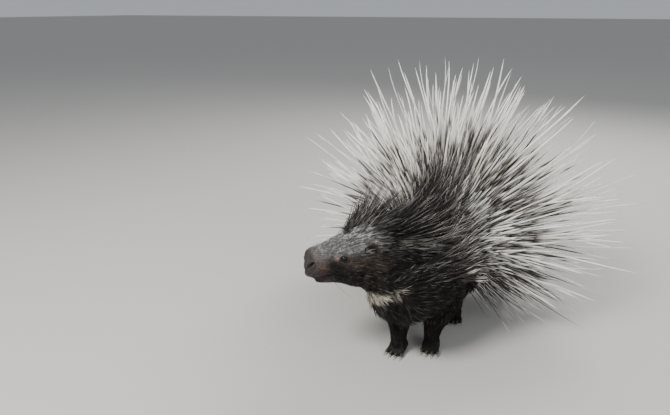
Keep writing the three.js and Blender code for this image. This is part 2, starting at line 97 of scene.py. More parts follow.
# The head in its own frame: nose tip at the origin, facing -Y, its left at +X
NOSE_TIP = (-190, -128, 212)
HEAD_TURN = math.radians(-50)
HEAD_DIP = math.radians(12)
SKULL_ROWS = [
    [0, 0, 0, 9, 14, 10],
    [0, 3, -1, 19, 25, 19],
    [0, 10, -1, 26, 34, 25],
    [0, 25, 0, 31, 38, 29],
    [0, 45, 1, 34, 37.5, 31],
    [0, 65, 2, 40, 39, 38],
    [0, 85, 2, 46, 41.5, 46],
    [0, 105, 2, 51, 46.5, 52],
    [0, 125, 2, 53, 52, 54],
    [0, 145, 2, 52, 55, 54],
    [0, 162, 2, 44, 50, 46],
]
JAW_ROWS = [
    [0, 12, -27, 10, 6, 7],
    [0, 17, -28, 16, 9, 11],
    [0, 32, -27, 22, 12, 17],
    [0, 55, -24, 28, 14, 29],
    [0, 85, -22, 37, 18, 49],
    [0, 112, -20, 40, 20, 60],
]
EYE_PLACE = np.array([37.6, 71, 13.5])
EYE_RADIUS = 5.6
EAR_BASE = np.array([50, 122, 14])
EAR_SIZE = np.array([13, 19])
MOUTH_LINE = [
    [33, 57, -11], [29.5, 46, -15], [27, 34, -17], [24.5, 23, -18], [18, 12, -18.5], [8, 4, -18], [0, 2, -18]
]
NOSTRIL_LINE = [[9, -1.5, 1], [15, 1, 5], [20.5, 7, 11.5], [23, 13, 15.5]]
ALAR_FOLD = [[14, 1, -9], [20, 7, -3], [24.5, 14, 4]]
BROW_LINE = [[38, 66, 23], [42, 84, 29], [44, 104, 37], [42, 124, 46]]
MUZZLE_FOLD = [[10, 13, 30], [19, 15, 26], [25, 17, 19], [28, 18, 11]]

SIDES = {"left": 1, "right": -1}

# Feet: the middle of each sole, the paw's length and width, its toes, its claws and how far it turns out
FORE = {"left": (31, 17), "right": (-31, -19), "length": 56, "width": 20, "toes": 4, "claw": 15, "out": 6}
HIND = {"left": (41, 168), "right": (-45, 176), "length": 84, "width": 22, "toes": 5, "claw": 13, "out": 14}

# Depth of the short coat that the skin leaves inside the solids
COAT_DEPTH = {"torso": 3, "neck": 3, "head": 1.6, "leg": 2, "paw": 0.8, "tail": 1.5}
SKIN_VOXEL = 2.7

# In metres: how high the soles are cut flat, and how deep the bump of the materials is
SOLE_LEVEL = 0.0004
BUMP_DEPTH = 0.0012

# Each strand's patch on the unwrap of the skin, and how softly the guides of the coat's lie mix
PATCH_SIZE = [0.0016, 0.0032]
GUIDE_SOFTNESS = 60

# How far the tips of quills may stand past the solids' box, and how far they stay off the floor
BOX_MARGIN = 12
FLOOR_GAP = 4

# Where the quills start, by degrees from the spine, and by the place along the body how far they lean
# back, how long they are and how long the crest is
START_BY_ANGLE = np.array([[0, 112], [15, 84], [30, 60], [50, 50], [70, 60], [100, 106], [125, 130]])
LEAN_BY_Y = np.array([[120, -6], [165, 3], [215, 15], [262, 34], [300, 54], [326, 72], [345, 82]])
LENGTH_BY_Y = np.array([[120, 110], [146, 215], [180, 300], [255, 326], [296, 255], [338, 175]])
CREST_BY_Y = np.array([
    [-125, 10], [-100, 14], [-78, 32], [-60, 60], [-45, 88], [-20, 124], [30, 172], [80, 168], [120, 150],
    [150, 130],
])

# Colours of hair, quills, claws, eyes and bare skin
CREAM = np.array([0.76, 0.70, 0.57])
HORN_WHITE = np.array([0.90, 0.88, 0.82])
HORN_CREAM = np.array([0.66, 0.60, 0.49])
HORN_DARK = np.array([0.040, 0.026, 0.019])
NEAR_BLACK = np.array([0.009, 0.007, 0.0065])
DARK_BROWN = np.array([0.036, 0.027, 0.022])
FACE_BROWN = np.array([0.085, 0.062, 0.052])
FROST = np.array([0.50, 0.49, 0.49])
TAN_HAIR = np.array([0.26, 0.19, 0.145])
PINK_SKIN = np.array([0.33, 0.205, 0.175])
LID_SKIN = np.array([0.022, 0.017, 0.016])
NOSE_SKIN = np.array([0.056, 0.048, 0.046])
CHIN_SKIN = np.array([0.085, 0.062, 0.064])
CLAW_DARK = np.array([0.09, 0.07, 0.055])
CLAW_PALE = np.array([0.42, 0.36, 0.28])
EYE_BLACK = (0.006, 0.004, 0.003)
FLOOR_GREY = (0.50, 0.485, 0.46)
SKY_BLUE = (0.80, 0.84, 0.90)
SKY_STRENGTH = 0.5

# Lights: place, width and power, in metres and watts, and colour
LIGHTS = {
    "key": ((-0.9, -1.9, 2.3), 1.0, 110, (1, 0.98, 0.95)),
    "fill": ((2.0, -1.2, 1.3), 1.8, 24, (0.94, 0.97, 1)),
    "back": ((0.3, 2.0, 2.0), 1.2, 55, (1, 1, 1)),
}
LIGHTS_AIM = (0, 0, 0.25)

# The photo's camera, in the design frame: 670 by 415 pixels, 550 pixels of focal length
CAMERA_PLACE = (269, -978, 687)
CAMERA_TURN = math.radians(25)
CAMERA_PITCH = math.radians(20)
SENSOR = 36
FOCAL = SENSOR * 550 / 670


def unit(vectors):
    return vectors / np.maximum(np.linalg.norm(vectors, axis=-1, keepdims=True), 1e-9)


def smooth_step(low, high, value):
    share = np.clip((value - low) / (high - low), 0, 1)
    return share * share * (3 - 2 * share)


def bell(value, width):
    return np.exp(-((value / width) ** 2))


def blend(first, second, share):
    return first + (second - first) * np.asarray(share)[..., None]


def table(rows, place):
    return np.interp(place, rows[:, 0], rows[:, 1])


def ring_angles(count):
    return np.arange(count) * 2 * math.pi / count


def quads(bands, around):
    """Corners of the faces between rings of points that follow one another."""
    return [
        [k * around + i, k * around + j, (k + 1) * around + j, (k + 1) * around + i]
        for k in range(bands)
        for i, j in zip(range(around), [*range(1, around), 0])
    ]


HEAD = np.array(
    Matrix.Translation(NOSE_TIP) @ Matrix.Rotation(HEAD_TURN, 4, "Z") @ Matrix.Rotation(HEAD_DIP, 4, "X")
)
HEAD_AXES, HEAD_PLACE = HEAD[:3, :3], HEAD[:3, 3]
EYE_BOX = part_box("eye_left")
SHIFT = np.mean(np.array(EYE_BOX), axis=0) * 1000 - (HEAD_AXES @ EYE_PLACE + HEAD_PLACE)
SHIFT[2] = 0


def to_row(points):
    """Design millimetres to row-frame metres."""
    return (np.asarray(points) + SHIFT) / 1000


def to_head(points):
    """Design millimetres to the head's own frame."""
    return (np.asarray(points) - HEAD_PLACE) @ HEAD_AXES


def from_head(points):
    """The head's own frame to design millimetres."""
    return points @ HEAD_AXES.T + HEAD_PLACE


def on_one_side(local):
    """Points in the head's frame, with those of its right side mirrored to its left."""
    return np.stack([np.abs(local[:, 0]), local[:, 1], local[:, 2]], axis=1)


class Loft:
    """A rounded form along a smooth path, the same as the one that the solids use."""

    def __init__(self, rows, reference=(0, 0, 1), matrix=None):
        self.rows = np.array(rows, float)
        self.reference = np.array(reference, float)
        self.matrix = np.eye(4) if matrix is None else np.array(matrix)

    def read(self, t):
        rows = self.rows
        last = len(rows) - 1
        place = np.clip(np.asarray(t, float), 0, 1) * last
        i = np.minimum(place.astype(int), last - 1)
        w = (place - i)[..., None]
        ends = np.vstack([2 * rows[0] - rows[1], rows, 2 * rows[-1] - rows[-2]])
        p0, p1, p2, p3 = (ends[i + k] for k in range(4))
        m0, m1 = (p2 - p0) / 2, (p3 - p1) / 2
        cubic, square = 2 * (p1 - p2) + m0 + m1, 3 * (p2 - p1) - 2 * m0 - m1
        return ((cubic * w + square) * w + m0) * w + p1

    def along(self, t):
        t = np.asarray(t, float)
        return unit(self.read(t + 1e-4)[..., :3] - self.read(t - 1e-4)[..., :3])

    def point(self, t, angle, grow=0):
        row = self.read(t)
        along = self.along(t)
        side = unit(np.cross(along, self.reference))
        up = np.cross(side, along)
        across, rise = np.cos(angle), np.sin(angle)
        height = np.where(rise > 0, row[..., 4], row[..., 5]) + grow
        points = row[..., :3] + side * (across * (row[..., 3] + grow))[..., None]
        points = points + up * (rise * height)[..., None]
        return points @ self.matrix[:3, :3].T + self.matrix[:3, 3]

    def normal(self, t, angle):
        step = 0.004
        t = np.asarray(t, float)
        along = self.point(np.minimum(t + step, 1), angle) - self.point(np.maximum(t - step, 0), angle)
        around = self.point(t, angle + step) - self.point(t, angle - step)
        return unit(np.cross(along, around))

    def lie(self, t):
        return self.along(t) @ self.matrix[:3, :3].T

    def shell(self, steps, sides, grow):
        t, angle = np.meshgrid(np.linspace(0, 1, steps + 1), ring_angles(sides), indexing="ij")
        points = self.point(t, angle, grow).reshape(-1, 3)
        last = range(steps * sides, (steps + 1) * sides)
        return points, quads(steps, sides) + [list(reversed(range(sides))), list(last)]


def fast_mesh(name, points, loops, sizes):
    """A mesh from points in row metres, the corner indices of its faces, and each face's size."""
    mesh = bpy.data.meshes.new(name)
    mesh.vertices.add(len(points))
    mesh.vertices.foreach_set("co", np.ascontiguousarray(points, np.float32).ravel())
    mesh.loops.add(len(loops))
    mesh.loops.foreach_set("vertex_index", np.ascontiguousarray(loops, np.int32))
    mesh.polygons.add(len(sizes))
    starts = np.concatenate([[0], np.cumsum(sizes)[:-1]]).astype(np.int32)
    mesh.polygons.foreach_set("loop_start", starts)
    mesh.polygons.foreach_set("use_smooth", np.ones(len(sizes), bool))
    mesh.update(calc_edges=True)
    mesh.validate()
    return mesh


def paint(mesh, colours):
    layer = mesh.color_attributes.new(name="tone", type="FLOAT_COLOR", domain="POINT")
    rgba = np.ones((len(colours), 4), np.float32)
    rgba[:, :3] = colours
    layer.data.foreach_set("color", rgba.ravel())


def add_object(name, data):
    obj = bpy.data.objects.new(name, data)
    bpy.context.scene.collection.objects.link(obj)
    return obj


def dress(obj, material, slot, *nodes):
    """Gives a piece its material, parents it to what it rides on, and hides the nodes that it stands for."""
    obj.data.materials.append(material)
    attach(obj, "root")
    if nodes:
        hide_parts(*nodes)


# Materials
def new_material(name, roughness, specular):
    material = bpy.data.materials.new(name)
    material.use_nodes = True
    shader = material.node_tree.nodes["Principled BSDF"]
    shader.inputs["Roughness"].default_value = roughness
    shader.inputs["Specular IOR Level"].default_value = specular
    return material, shader


def toned_material(name, roughness, specular, grain_scale, darkest, lightest, bump=0.0):
    """Colour from the mesh's own markings, broken up by a fine grain."""
    material, shader = new_material(name, roughness, specular)
    tree = material.node_tree

    def add_node(kind, **values):
        made = tree.nodes.new("ShaderNode" + kind)
        for socket, value in values.items():
            made.inputs[socket.replace("_", " ")].default_value = value
        return made

    place, tone, scale = add_node("TexCoord"), add_node("Attribute"), add_node("VectorMath")
    tone.attribute_name = "tone"
    scale.operation = "SCALE"
    noise = add_node("TexNoise", Scale=grain_scale, Detail=4.0)
    levels = add_node("MapRange", From_Min=0.3, From_Max=0.7, To_Min=darkest, To_Max=lightest)
    links = [
        (place, "Object", noise, "Vector"),
        (noise, "Fac", levels, "Value"),
        (tone, "Color", scale, 0),
        (levels, "Result", scale, "Scale"),
        (scale, "Vector", shader, "Base Color"),
    ]
    if bump:
        height = add_node("Bump", Strength=bump, Distance=BUMP_DEPTH)
        links += [(noise, "Fac", height, "Height"), (height, "Normal", shader, "Normal")]
    for source, output, target, socket in links:
        tree.links.new(source.outputs[output], target.inputs[socket])
    return material


skin_material = toned_material("skin", 0.72, 0.35, 900, 0.62, 1.25, bump=0.7)
hair_material = toned_material("hair", 0.55, 0.22, 260, 0.72, 1.25)
quill_material = toned_material("quill", 0.36, 0.5, 420, 0.86, 1.08, bump=0.12)
claw_material = toned_material("claw", 0.38, 0.5, 500, 0.7, 1.2, bump=0.2)
eye_material, eye_shader = new_material("eye", 0.08, 0.3)
eye_shader.inputs["Base Color"].default_value = (*EYE_BLACK, 1)


# Body lofts
def fore_leg(side, place):
    px, py = place
    return Loft(
        [
            [side * 44, 30 + py * 0.3, 172, 32, 36, 36],
            [side * 48, 26 + py * 0.4, 138, 36, 39, 37],
            [side * 46 * 0.7 + px * 0.3, 20 + py * 0.6, 100, 31, 33, 32],
            [side * 41 * 0.3 + px * 0.7, 8 + py * 0.9, 66, 23, 25, 24],
            [px, py + 2, 38, 18, 20, 19],
            [px, py + 1, 16, 17, 19, 18],
        ],
        (0, 1, 0),
    )


def hind_leg(side, place):
    px, py = place
    return Loft(
        [
            [side * 52, py + 46, 190, 34, 44, 46],
            [side * 58, py + 26, 150, 38, 52, 46],
            [side * 57, py + 8, 110, 32, 44, 38],
            [(side * 55 + px) / 2, py + 12, 74, 24, 28, 28],
            [px, py + 22, 44, 19, 20, 22],
            [px, py + 22, 18, 18, 18, 20],
        ],
        (0, 1, 0),
    )


def paw_frame(side, place, out):
    turn = Matrix.Rotation(math.radians(side * out), 4, "Z")
    return np.array(Matrix.Translation((*place, 0)) @ turn)


def toe_places(paw):
    knuckle = -paw["length"] * 0.2
    for i in range(paw["toes"]):
        spread = i / (paw["toes"] - 1) * 2 - 1
        reach = knuckle - paw["length"] * (0.27 - 0.08 * spread * spread)
        yield spread * (paw["width"] - 4.5), knuckle, reach


def paw_lofts(side, name, paw):
    matrix = paw_frame(side, paw[name], paw["out"])
    width, heel, knuckle = paw["width"], paw["length"] * 0.45, -paw["length"] * 0.2
    lofts = [
        Loft(
            [
                [0, heel, 8, 8, 8, 8],
                [0, heel - 5, 11, width * 0.74, 12, 15],
                [0, heel * 0.4, 13, width * 0.9, 14, 17],
                [0, knuckle * 0.3, 12, width * 0.96, 12, 16],
                [0, knuckle, 8, width * 0.86, 8, 11],
            ],
            matrix=matrix,
        )
    ]
    for x, at, reach in toe_places(paw):
        lofts.append(
            Loft(
                [
                    [x * 0.8, at + 9, 8, 4, 4.5, 7],
                    [x, at - 4, 7.5, 4.6, 5.4, 9],
                    [x * 1.06, reach + 3, 6.5, 4.4, 4.6, 7.6],
                    [x * 1.08, reach - 1, 6.2, 2.6, 2.6, 3.4],
                ],
                matrix=matrix,
            )
        )
    return lofts


torso = Loft(TORSO_ROWS)
neck = Loft(NECK_ROWS)
tail = Loft(TAIL_ROWS)
skull = Loft(SKULL_ROWS, matrix=HEAD)
jaw = Loft(JAW_ROWS, matrix=HEAD)
legs = {}
for name, side in SIDES.items():
    legs["fore", name] = fore_leg(side, FORE[name])
    legs["hind", name] = hind_leg(side, HIND[name])


def make_skin():
    """All flesh in one closed surface, remeshed so that no part shows a seam."""
    shells = [
        torso.shell(64, 72, -COAT_DEPTH["torso"]),
        neck.shell(40, 56, -COAT_DEPTH["neck"]),
        skull.shell(60, 64, -COAT_DEPTH["head"]),
        jaw.shell(32, 40, -COAT_DEPTH["head"]),
        tail.shell(20, 32, -COAT_DEPTH["tail"]),
    ]
    shells += [loft.shell(40, 40, -COAT_DEPTH["leg"]) for loft in legs.values()]
    for name, side in SIDES.items():
        for paw in (FORE, HIND):
            shells += [loft.shell(14, 20, -COAT_DEPTH["paw"]) for loft in paw_lofts(side, name, paw)]
    build = bmesh.new()
    for points, faces in shells:
        made = [build.verts.new(p) for p in to_row(points)]
        for face in faces:
            build.faces.new([made[i] for i in face])
    bmesh.ops.bisect_plane(
        build, geom=build.verts[:] + build.edges[:] + build.faces[:], plane_co=(0, 0, SOLE_LEVEL),
        plane_no=(0, 0, -1), clear_outer=True,
    )
    bmesh.ops.holes_fill(build, edges=[e for e in build.edges if e.is_boundary])
    bmesh.ops.recalc_face_normals(build, faces=build.faces[:])
    mesh = bpy.data.meshes.new("skin")
    build.to_mesh(mesh)
    build.free()
    obj = add_object("skin", mesh)
    remesh = obj.modifiers.new("remesh", "REMESH")
    remesh.mode = "VOXEL"
    remesh.voxel_size = SKIN_VOXEL / 1000
    relax = obj.modifiers.new("relax", "SMOOTH")
    relax.factor = 0.5
    relax.iterations = 8
    apply_modifiers(obj)
    return obj


def apply_modifiers(obj):
    graph = bpy.context.evaluated_depsgraph_get()
    made = bpy.data.meshes.new_from_object(obj.evaluated_get(graph))
    obj.modifiers.clear()
    old, obj.data = obj.data, made
    bpy.data.meshes.remove(old)


def read_points(mesh):
    """A mesh's points in design millimetres, and its normals."""
    values = np.empty((2, len(mesh.vertices) * 3), np.float32)
    mesh.vertices.foreach_get("co", values[0])
    mesh.vertex_normals.foreach_get("vector", values[1])
    points, normals = values.reshape(2, -1, 3).astype(float)
    return points * 1000 - SHIFT, normals


def refine_head(obj):
    """Finer faces over the face, for the folds, lids, nostrils and lips."""
    x, y, z = to_head(read_points(obj.data)[0]).T
    chosen = (y < 112) & (np.abs(x) < 70) & (z < 75) & (z > -60)
    build = bmesh.new()
    build.from_mesh(obj.data)
    edges = [e for e in build.edges if chosen[e.verts[0].index] and chosen[e.verts[1].index]]
    bmesh.ops.subdivide_edges(build, edges=edges, cuts=1, use_grid_fill=True, smooth=0.6)
    bmesh.ops.triangulate(build, faces=[f for f in build.faces if len(f.verts) > 4])
    build.to_mesh(obj.data)
    build.free()


def line_distance(points, line):
    """Distance from each point to a bent line."""
    line = np.array(line, float)
    nearest = np.full(len(points), np.inf)
    for start, end in zip(line, line[1:]):
        edge = end - start
        share = np.clip(((points - start) @ edge) / (edge @ edge), 0, 1)
        nearest = np.minimum(nearest, np.linalg.norm(points - start - share[:, None] * edge, axis=1))
    return nearest


def face_relief(local):
    """How far the skin of the face stands out from the plain form, in millimetres."""
    mirrored = on_one_side(local)
    x, y, z = mirrored.T
    relief = np.zeros(len(local))

    # Lids round a sunk eye, with the bone above and the hollow before it
    ey, ez = y - EYE_PLACE[1], z - EYE_PLACE[2]
    slant = ez + 0.22 * ey
    around = np.hypot(ey / 1.22, slant / 0.86)
    at_side = smooth_step(22, 30, x)
    upper = np.where(slant > 0, 1.25, 0.85)
    relief += at_side * upper * 2.6 * bell(around - 5.5, 1.4)
    relief -= at_side * 5.0 * bell(around, 3.2)
    relief -= at_side * 1.0 * bell(around - 9.5, 2.0)
    relief += at_side * 1.8 * bell(ey, 15) * bell(ez - 14, 5)
    relief -= at_side * 1.6 * bell(ey + 14, 6) * bell(ez + 3, 6)

    # Nostrils with their rims and wings, and the crease behind the nose
    nostril = line_distance(mirrored, NOSTRIL_LINE)
    crease = line_distance(mirrored, MUZZLE_FOLD)
    relief -= 6.5 * bell(nostril, 2.1)
    relief += 1.5 * bell(nostril - 4.4, 1.5)
    relief -= 2.4 * bell(line_distance(mirrored, ALAR_FOLD), 1.5)
    relief -= 1.7 * bell(crease, 1.4)
    relief += 0.9 * bell(crease - 3.2, 1.6)

    # Mouth and lips, and the cleft down the front of the nose
    mouth = line_distance(mirrored, MOUTH_LINE)
    above = z - np.interp(y, [2, 12, 23, 34, 46, 57], [-18, -18.5, -18, -17, -15, -11])
    near_mouth = smooth_step(64, 52, y)
    relief -= near_mouth * 4.2 * bell(mouth, 1.7)
    relief += near_mouth * 1.8 * bell(above - 4.6, 2.6) * smooth_step(1, 3, mouth)
    relief += near_mouth * 1.0 * bell(above + 4.2, 2.4) * smooth_step(1, 3, mouth)
    relief -= smooth_step(12, 3, y) * 2.0 * bell(local[:, 0], 1.3) * smooth_step(10, -4, z)
    relief += 1.4 * bell(y - 4, 6) * smooth_step(-14, 0, z) * smooth_step(30, 20, z)

    # Whisker pad, the dip behind it with its folds, and the cheek
    relief += 2.2 * bell(y - 28, 10) * bell(z - 4, 13) * smooth_step(12, 22, x)
    relief -= 2.2 * bell(y - 47, 8) * bell(z + 1, 12) * smooth_step(15, 25, x)
    folds = np.sin(y * 0.75 + 2.2 * np.sin(z * 0.17 + 0.4)) * bell(y - 46, 14) * bell(z + 2, 15)
    relief += 0.8 * folds * smooth_step(18, 26, x)
    relief += 1.6 * bell(y - 96, 24) * bell(z + 20, 20) * smooth_step(15, 30, x)
    return relief


def carve_face(obj):
    points, normals = read_points(obj.data)
    local = to_head(points)
    fade = smooth_step(122, 100, local[:, 1]) * smooth_step(70, 60, np.abs(local[:, 0]))
    moved = points + normals * (face_relief(local) * fade)[:, None]
    obj.data.vertices.foreach_set("co", to_row(moved).astype(np.float32).ravel())
    obj.data.update()


def unwrap(obj):
    """An unwrap of the skin's own shape, which every hair and quill takes its place on."""
    bpy.context.view_layer.objects.active = obj
    obj.select_set(True)
    bpy.ops.object.mode_set(mode="EDIT")
    bpy.ops.mesh.select_all(action="SELECT")
    bpy.ops.uv.smart_project(angle_limit=math.radians(66), island_margin=0.002)
    bpy.ops.object.mode_set(mode="OBJECT")
    obj.select_set(False)
    obj.data.uv_layers[0].name = "OFBake"


class Surface:
    """The finished skin as triangles, for rooting hair on it."""

    def __init__(self, mesh):
        mesh.calc_loop_triangles()
        corners, loops = np.empty((2, len(mesh.loop_triangles) * 3), np.int32)
        mesh.loop_triangles.foreach_get("vertices", corners)
        mesh.loop_triangles.foreach_get("loops", loops)
        uv = np.empty(len(mesh.loops) * 2, np.float32)
        mesh.uv_layers["OFBake"].uv.foreach_get("vector", uv)
        self.points, self.normals = read_points(mesh)
        self.corners = corners.reshape(-1, 3)
        self.uv = uv.reshape(-1, 2)[loops].reshape(-1, 3, 2)
        a, b, c = (self.points[self.corners[:, k]] for k in range(3))
        self.areas = np.linalg.norm(np.cross(b - a, c - a), axis=1) / 2
        self.middles = (a + b + c) / 3
        self.tree = BVHTree.FromPolygons([Vector(p) for p in self.points], self.corners.tolist())

    def scatter(self, spacing, wanted):
        """Evenly spread roots on the faces whose middles are wanted: points, normals, unwrap places.

        Space is split in cells, with about four tries for each, and only the first try in a cell stays.
        """
        faces = np.flatnonzero(wanted(self.middles))
        areas = self.areas[faces]
        count = int(areas.sum() / spacing**2 * 4)
        picks = rng.choice(faces, count, p=areas / areas.sum())
        r1, r2 = np.sqrt(rng.random(count)), rng.random(count)
        weights = np.stack([1 - r1, r1 * (1 - r2), r1 * r2], axis=1)
        corners = self.corners[picks]
        points = np.einsum("nk,nkd->nd", weights, self.points[corners])
        _, first = np.unique(np.floor(points / spacing).astype(int), axis=0, return_index=True)
        first.sort()
        normals = unit(np.einsum("nk,nkd->nd", weights, self.normals[corners]))
        places = np.einsum("nk,nkd->nd", weights, self.uv[picks])
        return points[first], normals[first], places[first]

    def settle(self, points):
        """The nearest skin to each point: where it is, and its unwrap place."""
        found = [self.tree.find_nearest(Vector(p)) for p in points]
        return np.array([hit[0] for hit in found]), self.uv[[hit[2] for hit in found]].mean(axis=1)


def lie_guides():
    """Points over the body with the direction in which the coat lies there."""
    places, ways = [], []
    plan = [
        (torso, np.linspace(0.08, 0.97, 22), 14, (0, 0, -0.35)),
        (neck, np.linspace(0.1, 0.8, 7), 14, (0, 0, -0.25)),
        (skull, np.linspace(0.06, 0.92, 14), 14, (0, 0, -0.12)),
        (tail, np.linspace(0.2, 1, 4), 8, (0, 0, 0)),
    ]
    plan += [(loft, np.linspace(0.25, 1, 8), 8, (0, 0.15, 0)) for loft in legs.values()]
    for loft, stations, around, pull in plan:
        for t in stations:
            angles = ring_angles(around)
            spot = np.full(around, t)
            sideways = np.abs(np.cos(angles))[:, None]
            places.append(loft.point(spot, angles))
            ways.append(loft.lie(spot) + sideways * np.array(pull))
    return np.vstack(places), unit(np.vstack(ways))


GUIDE_PLACES, GUIDE_WAYS = lie_guides()


def lie_at(points, normals, batch=4000):
    """The lie of the coat along the skin at each point."""
    ways = np.zeros_like(points)
    for start in range(0, len(points), batch):
        part = slice(start, start + batch)
        gaps = ((points[part, None] - GUIDE_PLACES) ** 2).sum(axis=2)
        weights = 1 / (gaps + GUIDE_SOFTNESS) ** 2
        ways[part] = weights @ GUIDE_WAYS / weights.sum(axis=1)[:, None]
    ways -= normals * (ways * normals).sum(axis=1)[:, None]
    return unit(ways)


# Strands
def lay_out(mesh, spread):
    """Gives each corner of the mesh's faces its place on the unwrap of the skin."""
    layer = mesh.uv_layers.new(name="OFBake")
    layer.uv.foreach_set("vector", np.clip(spread, 0, 1).astype(np.float32).ravel())


def strand_faces(rings, sides):
    """Corners of one strand's faces, the place of each corner on the strand, and each face's size."""
    last = rings - 2
    square = ((0, 0), (1, 0), (1, 1), (0, 1))
    corners = sum(quads(last, sides), [])
    spots = [(i + a, k + b) for k in range(last) for i in range(sides) for a, b in square]
    for i in range(sides):
        corners += [last * sides + i, last * sides + (i + 1) % sides, (last + 1) * sides]
        spots += [(i, last), (i + 1, last), (i + 0.5, last + 1)]
    return np.array(corners), np.array(spots, float) / [sides, rings - 1], [4] * (last * sides) + [3] * sides


def add_strands(name, material, slot, roots, ways, bends, lengths, radii, tones, places, rings, sides,
                profile, sink, flat=1.0, sways=None):
    """Many tapered strands in one piece. tones(share) gives each strand's colour along its length."""
    count = len(roots)
    step = np.linspace(0, 1, rings)
    at = -sink + step[None] * (lengths[:, None] + sink)
    share = np.maximum(at, 0) / lengths[:, None]
    centres = roots[:, None] + ways[:, None] * at[..., None]
    centres = centres + bends[:, None] * (share**2 * lengths[:, None])[..., None]
    if sways is not None:
        wave = np.sin(share * math.pi * 1.6) * share * lengths[:, None]
        centres = centres + sways[:, None] * wave[..., None]
    tangents = unit(np.gradient(centres, axis=1))
    helper = unit(np.cross(ways, np.array([0.31, 0.52, 0.79])))[:, None]
    across = unit(helper - tangents * (helper * tangents).sum(axis=2, keepdims=True))
    facing = np.cross(tangents, across)
    size = radii[:, None] * profile(step)[None]
    turn = ring_angles(sides)[:, None]
    ring = across[:, :-1, None] * np.cos(turn) + facing[:, :-1, None] * (flat * np.sin(turn))
    body = centres[:, :-1, None] + ring * size[:, :-1, None, None]
    points = np.concatenate([body.reshape(count, -1, 3), centres[:, -1:]], axis=1)
    colours = tones(share)
    shades = np.concatenate([np.repeat(colours[:, :-1], sides, axis=1), colours[:, -1:]], axis=1)
    corners, spots, sizes = strand_faces(rings, sides)
    loops = (np.arange(count)[:, None] * points.shape[1] + corners).ravel()
    mesh = fast_mesh(name, to_row(points.reshape(-1, 3)), loops, np.tile(sizes, count))
    paint(mesh, shades.reshape(-1, 3))
    lay_out(mesh, places[:, None] + (spots - 0.5) * PATCH_SIZE)
    dress(add_object(name, mesh), material, slot)


def grade(base, tip, start, end):
    """Strand colour that turns from base to tip between two shares of its length."""
    def tones(share):
        return base[:, None] + (tip - base)[:, None] * smooth_step(start, end, share)[..., None]

    return tones


def some(count, share, low, high):
    """A random amount from low to high for a share of the strands, and none for the others."""
    return (rng.random(count) < share) * rng.uniform(low, high, count)


def plain(colour):
    """Strands of one colour."""
    return lambda share: np.broadcast_to(colour, (*share.shape, 3))


class Tufts:
    """Strands in tufts, each tuft from one root: where they start, lie and take their colour from."""

    def __init__(self, spacing, strands, wander, wanted):
        roots, normals, places = surface.scatter(spacing, wanted)
        ways = lie_at(roots, normals)
        again = np.repeat(np.arange(len(roots)), strands)
        self.count = len(again)
        self.normals, self.ways, self.places = normals[again], ways[again], places[again]
        self.across = np.cross(normals, ways)[again]
        offset = rng.normal(0, wander, (self.count, 2))
        self.roots = roots[again] + self.ways * offset[:, :1] + self.across * offset[:, 1:]
        self.tone = rng.random(len(roots))[again]
        self.swing = rng.normal(0, 1, len(roots))[again]

    def direction(self, rise, rise_spread, fan):
        angle = np.radians(rise + rng.normal(0, rise_spread, self.count))
        side = fan * (0.6 * self.swing + 0.8 * rng.normal(0, 1, self.count))
        ways = unit(self.ways + self.across * side[:, None])
        return unit(ways * np.cos(angle)[:, None] + self.normals * np.sin(angle)[:, None])

    def grow(self, name, slot, ways, bends, lengths, radii, base, tip, turn, rings, sink, part=slice(None)):
        """Hair that turns from its base colour to its tip colour between two shares of its length."""
        add_strands(
            name, hair_material, slot, self.roots[part], ways[part], bends[part], lengths[part], radii[part],
            grade(base[part], tip[part], *turn), self.places[part], rings, 3, hair_profile, sink,
        )


def hair_profile(step):
    return np.clip(1.15 - step**1.6, 0, 1) * np.minimum(1, 0.7 + step)


def quill_profile(step):
    swell = 0.6 + 0.4 * smooth_step(0, 0.25, step)
    taper = 1 - 0.16 * smooth_step(0.4, 0.86, step)
    return swell * taper * (1 - np.clip((step - 0.84) / 0.16, 0, 0.999) ** 1.8)


def slim_profile(step):
    swell = 0.55 + 0.45 * smooth_step(0, 0.3, step)
    return swell * (1 - np.clip((step - 0.42) / 0.58, 0, 0.999) ** 1.7)


# The markings of the coat, by place
THROAT = np.array([-99, -62, 149])
THROAT_TILT = unit(np.array([-0.447, -0.351, 0.823]))
NECK_SIDE = unit(np.array([0.62, -0.79, 0]))


def throat_collar(points):
    """How much each point lies in the pale collar, which crosses the throat and rises to both sides."""
    offset = (points - THROAT) @ THROAT_TILT + 2.5 * (patchy(points, 26) - 0.5)
    fade = smooth_step(186, 150, points[:, 2])
    along = (points[:, :2] - THROAT[:2]) @ np.array([0.79, 0.62])
    return smooth_step(7.5, 4.0, np.abs(offset) / (0.45 + 0.55 * fade)) * (fade > 0) * (along < 60)


# The pale streak from behind each ear along the neck
NECK_STREAK = np.array(
    [[-96, -88, 262], [-58, -74, 265], [-33, -61, 262], [-8, -43, 259], [16, -23, 254], [34, -6, 247]], float
)
FAR_NECK_STREAK = NECK_STREAK - 2 * ((NECK_STREAK - [-84, -45, 0]) @ NECK_SIDE)[:, None] * NECK_SIDE


def patchy(points, size):
    """A soft random field between 0 and 1, with patches about as wide as the given size."""
    total = np.zeros(len(points))
    for k, turn in enumerate(((1.0, 0.31, 0.17), (-0.42, 1.0, 0.36), (0.2, -0.51, 1.0), (0.77, 0.6, -0.7))):
        wave = points @ np.array(turn) * (2 * math.pi / size) * (1 + 0.37 * k)
        total += np.sin(wave + 1.7 * k + 1.3 * np.sin(0.61 * wave + k))
    return np.clip(0.5 + total / 5, 0, 1)


